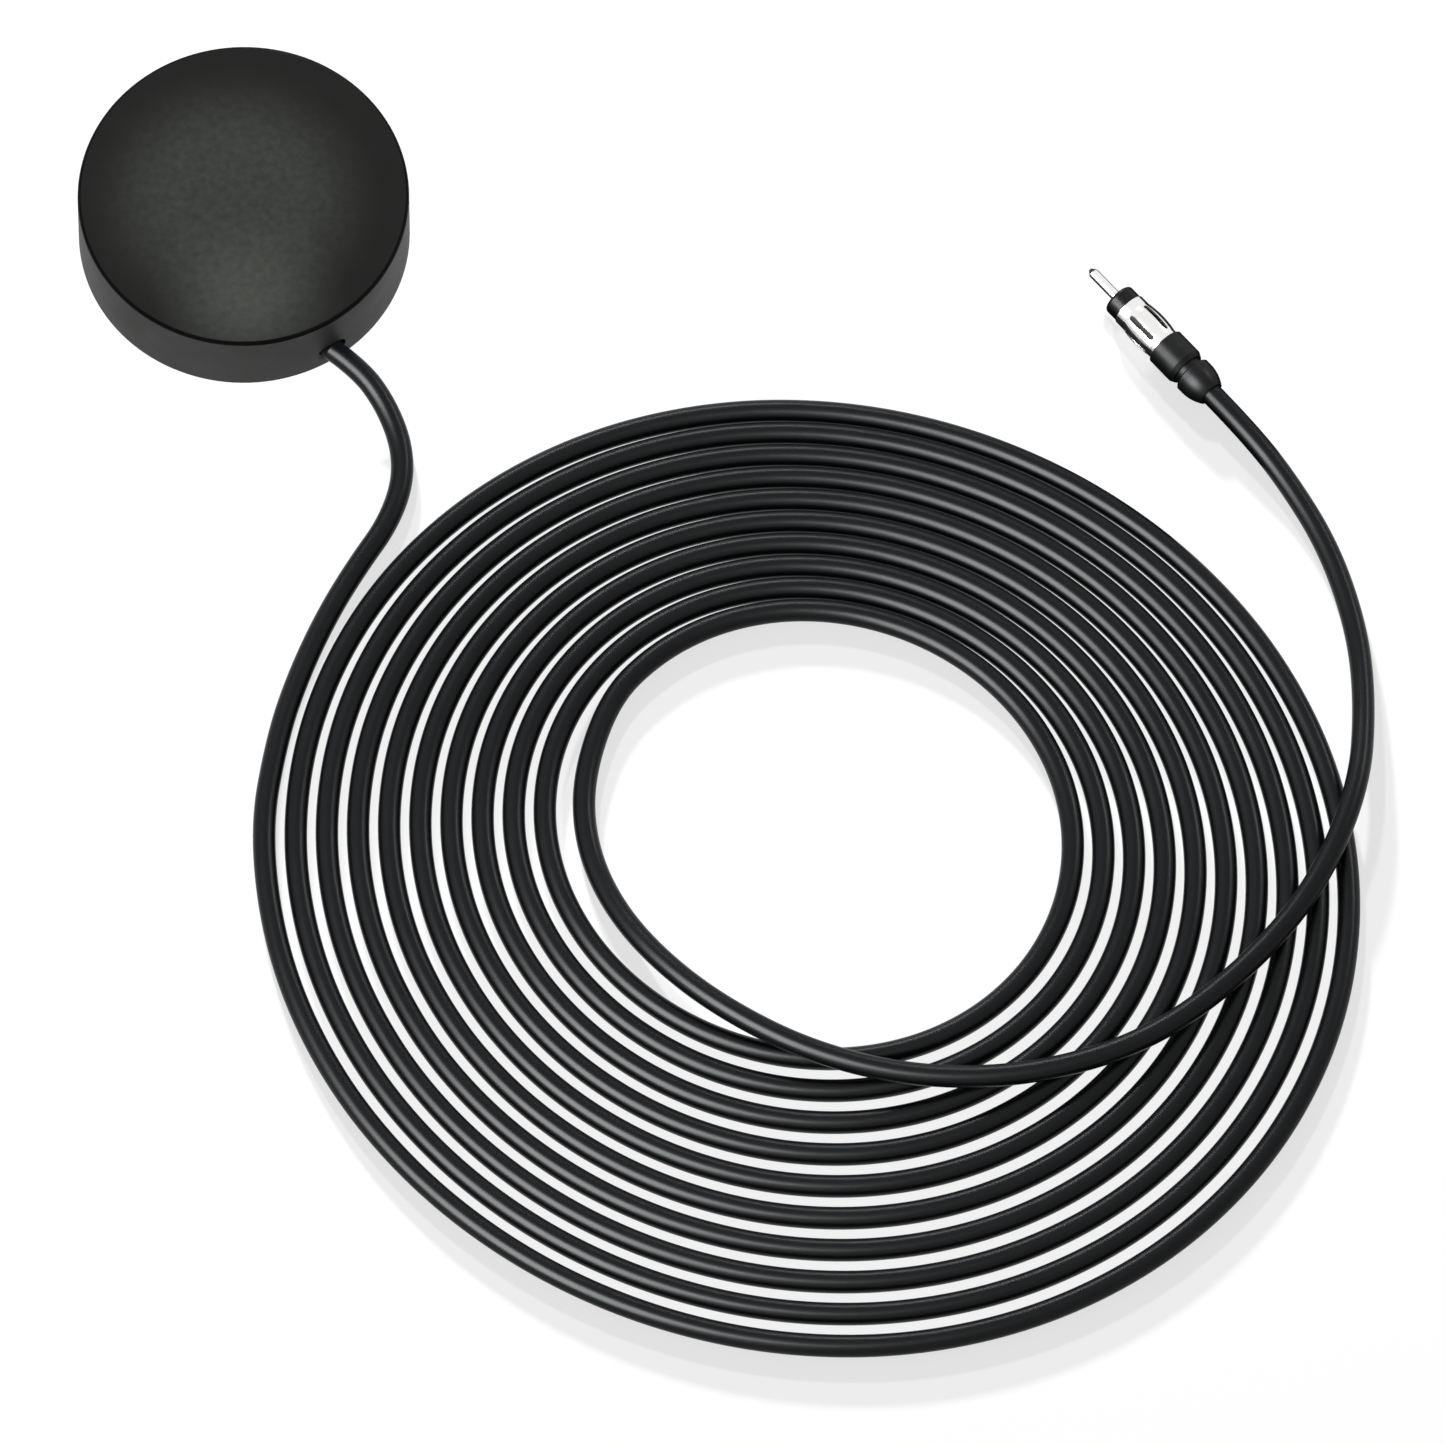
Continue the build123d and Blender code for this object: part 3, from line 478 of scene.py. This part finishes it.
# %% Foam, steel, laminate and nylon
pad_foam = finish_of("pad_foam", grey(0.028), grey(0.04), clean=0.85, smudged=0.95,
                     grains=1800.0, drift=150.0, depth=0.0002, specular=0.2)
screw_zinc = finish_of("screw_zinc", (0.5, 0.51, 0.53), (0.62, 0.62, 0.62), clean=0.28,
                       smudged=0.42, smudges=500.0, grains=5000.0, drift=300.0, depth=0.000006,
                       metallic=1.0)
board_green = finish_of("board_green", (0.012, 0.085, 0.03), (0.02, 0.12, 0.045), clean=0.25,
                        smudged=0.38, grains=3500.0, drift=110.0, depth=0.00001)
bobbin_nylon = finish_of("bobbin_nylon", (0.6, 0.57, 0.48), (0.68, 0.65, 0.57), clean=0.42,
                         smudged=0.5, grains=3000.0, drift=120.0, depth=0.00001)
dress(pad_foam, "adhesive_pad")
dress(screw_zinc, "base_screws", "board_screws", "clamp_screws")
dress(board_green, "circuit_board")
dress(bobbin_nylon, "winding_former")


# %% Copper windings
aerial_wire_diameter = 0.5 * MM
choke_wire_diameter = 0.35 * MM
ridge_share = 0.25  # depth of the bump, as a share of the wire's diameter


def wound_copper(name, turns_per_metre):
    """Enamelled wire wound side by side round an upright axis."""
    material = finish_of(name, (0.42, 0.13, 0.045), (0.56, 0.19, 0.07), clean=0.2, smudged=0.32,
                         grains=6000.0, drift=260.0, depth=0.000004, metallic=1.0)
    tree = material.node_tree
    wires = place_group(tree, winding, Turns_per_metre=turns_per_metre)
    raise_bump(tree, tree.nodes["Principled BSDF"], wires.outputs["Height"],
               ridge_share / turns_per_metre)
    return material


dress(wound_copper("aerial_copper", 1 / aerial_wire_diameter), "aerial_winding")
dress(wound_copper("choke_copper", 1 / choke_wire_diameter), "choke_winding")

# %% Ferrite, ceramic, tin, dielectric and bare copper
ferrite_grey = finish_of("ferrite_grey", grey(0.03), grey(0.055), clean=0.55, smudged=0.7,
                         grains=7000.0, drift=900.0, depth=0.00002)
chip_ceramic = finish_of("chip_ceramic", (0.3, 0.19, 0.11), (0.4, 0.27, 0.17), clean=0.45,
                         smudged=0.55, grains=9000.0, drift=800.0, depth=0.00001)
solder_tin = finish_of("solder_tin", grey(0.62, 0.01), grey(0.74, 0.01), clean=0.25, smudged=0.45,
                       smudges=700.0, grains=4000.0, drift=700.0, depth=0.00002, metallic=1.0)
core_copper = finish_of("core_copper", (0.7, 0.3, 0.17), (0.85, 0.42, 0.26), clean=0.2,
                        smudged=0.35, grains=5000.0, drift=500.0, depth=0.000004, metallic=1.0)
dielectric_white = finish_of("dielectric_white", grey(0.72, 0.02), grey(0.8, 0.01), clean=0.32,
                             smudged=0.42, grains=1500.0, drift=200.0, depth=0.000006)
dress(ferrite_grey, "choke_core")
dress(chip_ceramic, "chip_capacitors")
dress(solder_tin, "solder_posts", "braid_tail")
dress(core_copper, "core_tail", "core_end")
dress(dielectric_white, "dielectric_tail", "dielectric_end")

# %% [markdown]
# ## Studio
#
# The picture has a white ground with faint shadows. The room is plain white to the camera and to
# what reflects, and lights the object softly at a lower level. The floor is a matt white sheet
# that glows for the most part, so that it is white where nothing shades it and a shadow on it
# stays pale.
#
# The turns of the coil keep the light from the floor between them, yet the picture shows it
# almost white. So the floor glows more in a ring under the coil: inside an oval of the coil's
# outer shape and outside one of its inner shape. It also glows fully in a small round spot beside
# the puck, where the picture shows hardly any shadow of the raised cord.

# %% Floor
floor_size = 40.0
floor_drop = 0.0001
sheet_tone = 0.9
floor_glow = 0.71
ring_glow = 0.865
outer_edge = {"near": 103.6, "far": 105.0}
inner_edge = {"near": 48.8, "far": 50.2}
inner_middle = (coil_middle[0] + coil_drift[0] * coil_turns,
                coil_middle[1] + coil_drift[1] * coil_turns)
clear_spot = {"middle": (20.5, -39.5), "near": 12.0, "far": 15.5}
oval_stretch = hypot(oval_across, oval_slant)
oval_turn = atan2(oval_slant, oval_across) / 2
bpy.ops.object.select_all(action="DESELECT")
bpy.ops.mesh.primitive_plane_add(size=floor_size, location=(0, 0, -floor_drop))
floor = bpy.context.object
floor.name = "floor"
bpy.ops.object.transform_apply(location=True, rotation=False, scale=False)


def seen_direct_or_mirrored(tree):
    """Mask that is 1 for what the camera, a reflection or glass sees, and 0 for soft light."""
    path = add_node(tree, "ShaderNodeLightPath")
    mirrored = add_node(tree, "ShaderNodeMath", operation="MAXIMUM")
    seen = add_node(tree, "ShaderNodeMath", operation="MAXIMUM")
    tree.links.new(path.outputs["Is Glossy Ray"], mirrored.inputs[0])
    tree.links.new(path.outputs["Is Transmission Ray"], mirrored.inputs[1])
    tree.links.new(path.outputs["Is Camera Ray"], seen.inputs[0])
    tree.links.new(mirrored.outputs["Value"], seen.inputs[1])
    return seen.outputs["Value"]


def inside_oval(tree, place, middle, edge):
    """Mask that is 1 inside an oval of the coil's shape and fades across its edge."""
    rounded = add_node(tree, "ShaderNodeMapping", vector_type="TEXTURE",
                       Location=(middle[0] * MM, middle[1] * MM, 0), Rotation=(0, 0, oval_turn),
                       Scale=(1 + oval_stretch, 1 - oval_stretch, 1))
    tree.links.new(place, rounded.inputs["Vector"])
    return patch(tree, rounded.outputs["Vector"], (0, 0), **edge)


floor_white = bpy.data.materials.new("floor_white")
floor_white.use_nodes = True
floor_tree = floor_white.node_tree
floor_tree.nodes.clear()
floor_place = add_node(floor_tree, "ShaderNodeTexCoord").outputs["Object"]
sheet = add_node(floor_tree, "ShaderNodeBsdfDiffuse", Color=(*grey(sheet_tone), 1))
glow = add_node(floor_tree, "ShaderNodeEmission", Color=(1, 1, 1, 1), Strength=1.0)
in_coil = inside_oval(floor_tree, floor_place, coil_middle, outer_edge)
in_hole = inside_oval(floor_tree, floor_place, inner_middle, inner_edge)
in_spot = patch(floor_tree, floor_place, **clear_spot)
in_ring = add_node(floor_tree, "ShaderNodeMath", operation="SUBTRACT")
floor_tree.links.new(in_coil, in_ring.inputs[0])
floor_tree.links.new(in_hole, in_ring.inputs[1])
glow_level = add_node(floor_tree, "ShaderNodeMath", operation="MAXIMUM")
ring_level = ramp(floor_tree, in_ring.outputs["Value"], 0.0, 1.0, floor_glow, ring_glow)
floor_tree.links.new(ring_level, glow_level.inputs[0])
floor_tree.links.new(in_spot, glow_level.inputs[1])
glow_share = both(floor_tree, seen_direct_or_mirrored(floor_tree), glow_level.outputs["Value"])
sheet_mix = add_node(floor_tree, "ShaderNodeMixShader")
floor_end = add_node(floor_tree, "ShaderNodeOutputMaterial")
floor_tree.links.new(glow_share, sheet_mix.inputs["Fac"])
floor_tree.links.new(sheet.outputs["BSDF"], sheet_mix.inputs[1])
floor_tree.links.new(glow.outputs["Emission"], sheet_mix.inputs[2])
floor_tree.links.new(sheet_mix.outputs["Shader"], floor_end.inputs["Surface"])
floor.data.materials.append(floor_white)

# %% [markdown]
# ### Black card
#
# Bright nickel in a white room on a white floor has no outline. A black card under the plug gives
# it one: only reflections see the card, so the metal's lower sides turn dark and the floor stays
# white.

# %% Black card
card_length = 70 * MM
card_width = 60 * MM
card_drop = 0.00005
card_reach = 18  # from the boot's back to the card's middle, in mm
card_middle = (plug_back + card_reach * level_way(plug_heading)) * MM
bpy.ops.object.select_all(action="DESELECT")
bpy.ops.mesh.primitive_plane_add(size=1, location=(card_middle.x, card_middle.y, -card_drop),
                                 rotation=(0, 0, plug_heading))
card = bpy.context.object
card.name = "black_card"
card.scale = (card_length, card_width, 1)
bpy.ops.object.transform_apply(location=True, rotation=True, scale=True)
card.visible_camera = False
card.visible_diffuse = False
card.visible_shadow = False
card_black = finish_of("card_black", grey(0.004), grey(0.006), clean=0.8, smudged=0.9,
                       grains=500.0, drift=20.0, depth=0.00001, specular=0.1)
card.data.materials.append(card_black)

# %% World
room_level = 0.22
world = bpy.data.worlds.new("room")
bpy.context.scene.world = world
world.use_nodes = True
room = world.node_tree
room.nodes.clear()
room_light = add_node(room, "ShaderNodeBackground", Color=(*grey(room_level), 1), Strength=1.0)
room_white = add_node(room, "ShaderNodeBackground", Color=(1, 1, 1, 1), Strength=1.0)
room_mix = add_node(room, "ShaderNodeMixShader")
room_end = add_node(room, "ShaderNodeOutputWorld")
room.links.new(seen_direct_or_mirrored(room), room_mix.inputs["Fac"])
room.links.new(room_light.outputs["Background"], room_mix.inputs[1])
room.links.new(room_white.outputs["Background"], room_mix.inputs[2])
room.links.new(room_mix.outputs["Shader"], room_end.inputs["Surface"])
bpy.context.scene.view_settings.view_transform = "Standard"

# %% [markdown]
# ### Lamps
#
# Two small lamps behind the object, one higher than the other, give the two edges of its shadow.
# Only the cord and the plug shade them, because the picture shows no shadow of the puck. Three
# soft boxes are seen in the gloss of the cord and the plug alone: a wide one at the front left
# gives the broad highlights, and two lower ones behind and at the right give the thin ones. The
# dull barrel isn't lit by them, so that it stays dark in the sleeve's slots.

# %% Lamps
glint_tint = (0.95, 0.98, 1.0)
glossy_pieces = bpy.data.collections.new("glossy_pieces")
shading_pieces = bpy.data.collections.new("shading_pieces")
for piece in [cord] + [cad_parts[name] for name in plug_nodes]:
    shading_pieces.objects.link(piece)
    if piece.name != "plug_barrel":
        glossy_pieces.objects.link(piece)


def lamp_at(name, azimuth, elevation, away, width, height, radiance):
    """Area lamp that faces the object. Azimuth 0 is behind the camera, positive to the right."""
    lamp_data = bpy.data.lights.new(name, "AREA")
    lamp_data.shape = "RECTANGLE"
    lamp_data.size = width
    lamp_data.size_y = height
    lamp_data.energy = radiance * pi * width * height
    lamp = bpy.data.objects.new(name, lamp_data)
    turn, rise = radians(azimuth), radians(elevation)
    way = Vector((sin(turn) * cos(rise), -cos(turn) * cos(rise), sin(rise)))
    lamp.location = aim + away * way
    lamp.rotation_mode = "QUATERNION"
    lamp.rotation_quaternion = way.to_track_quat("Z", "Y")
    bpy.context.scene.collection.objects.link(lamp)
    return lamp


def shadow_lamp(name, azimuth, elevation, away, width, height, level):
    """Small lamp that lights the floor to a level. Only the cord and the plug shade it."""
    radiance = level * pi * away**2 / (width * height * sin(radians(elevation)))
    lamp = lamp_at(name, azimuth, elevation, away, width, height, radiance)
    lamp.visible_glossy = False
    lamp.light_linking.blocker_collection = shading_pieces


def glint_box(name, azimuth, elevation, away, width, height, radiance):
    """Soft box that only shows as a highlight on the cord and the plug."""
    lamp = lamp_at(name, azimuth, elevation, away, width, height, radiance)
    lamp.data.color = glint_tint
    lamp.visible_diffuse = False
    lamp.light_linking.receiver_collection = glossy_pieces


shadow_lamp("back_high_lamp", azimuth=194, elevation=38, away=2.2, width=0.16, height=0.12,
            level=0.36)
shadow_lamp("back_low_lamp", azimuth=194, elevation=22, away=2.2, width=0.16, height=0.12,
            level=0.7)
glint_box("front_left_box", azimuth=-51, elevation=46, away=1.5, width=1.1, height=1.2,
          radiance=33.0)
glint_box("back_glint_box", azimuth=190, elevation=33, away=2.0, width=0.9, height=0.25,
          radiance=26.0)
glint_box("right_glint_box", azimuth=127, elevation=33, away=2.0, width=0.7, height=0.25,
          radiance=17.0)
